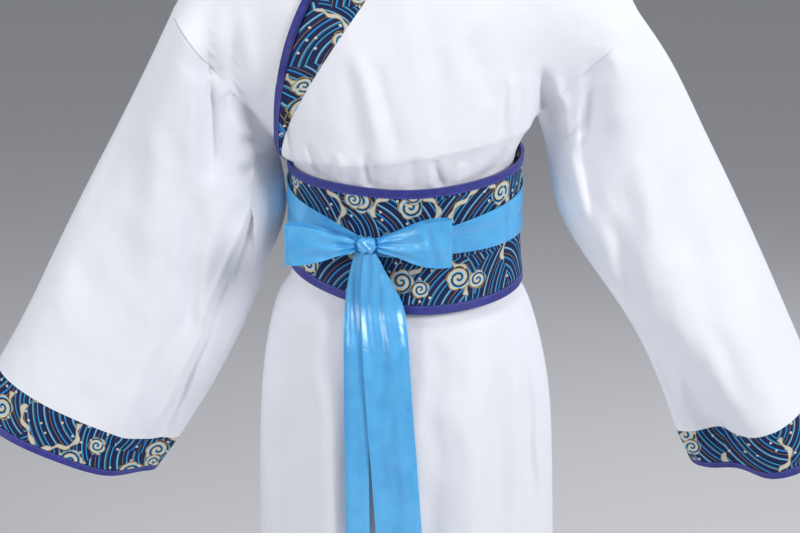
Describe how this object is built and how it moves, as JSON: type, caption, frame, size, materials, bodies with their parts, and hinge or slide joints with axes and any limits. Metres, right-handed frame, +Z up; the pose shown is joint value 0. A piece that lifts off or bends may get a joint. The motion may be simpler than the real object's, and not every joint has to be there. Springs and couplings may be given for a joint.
{
  "type": "hanfu robe",
  "caption": "Child's cross-collar robe held open as worn, with wide sleeves, printed collar, cuffs and waistband, and a ribbon tied in a bow.",
  "frame": {"origin": "between the shoulders, at the height of the side neck, midway between the side seams", "axes": "+X towards the wearer's left, -Y to the front, +Z up through the neck"},
  "size_m": [0.8702, 0.235, 1.0309],
  "materials": {
    "white_cloth": "smooth matt woven cloth with a slight sheen",
    "wave_print": "printed cloth, interfaced, matt",
    "royal_binding": "satin bias binding",
    "sky_satin": "satin ribbon"
  },
  "bodies": {
    "root": {"back": "white_cloth", "front_upper": "white_cloth", "front_under": "white_cloth", "sleeve_right": "white_cloth", "sleeve_left": "white_cloth", "cuff_right": "wave_print", "cuff_left": "wave_print", "collar": "wave_print", "waistband": "wave_print", "cuff_binding_right": "royal_binding", "cuff_binding_left": "royal_binding", "collar_binding": "royal_binding", "waistband_binding_top": "royal_binding", "waistband_binding_bottom": "royal_binding", "ribbon_wrap": "sky_satin", "bow_loop_right": "sky_satin", "bow_loop_left": "sky_satin", "bow_knot": "sky_satin", "tail_left": "sky_satin", "tail_right": "sky_satin"}
  },
  "joints": []
}
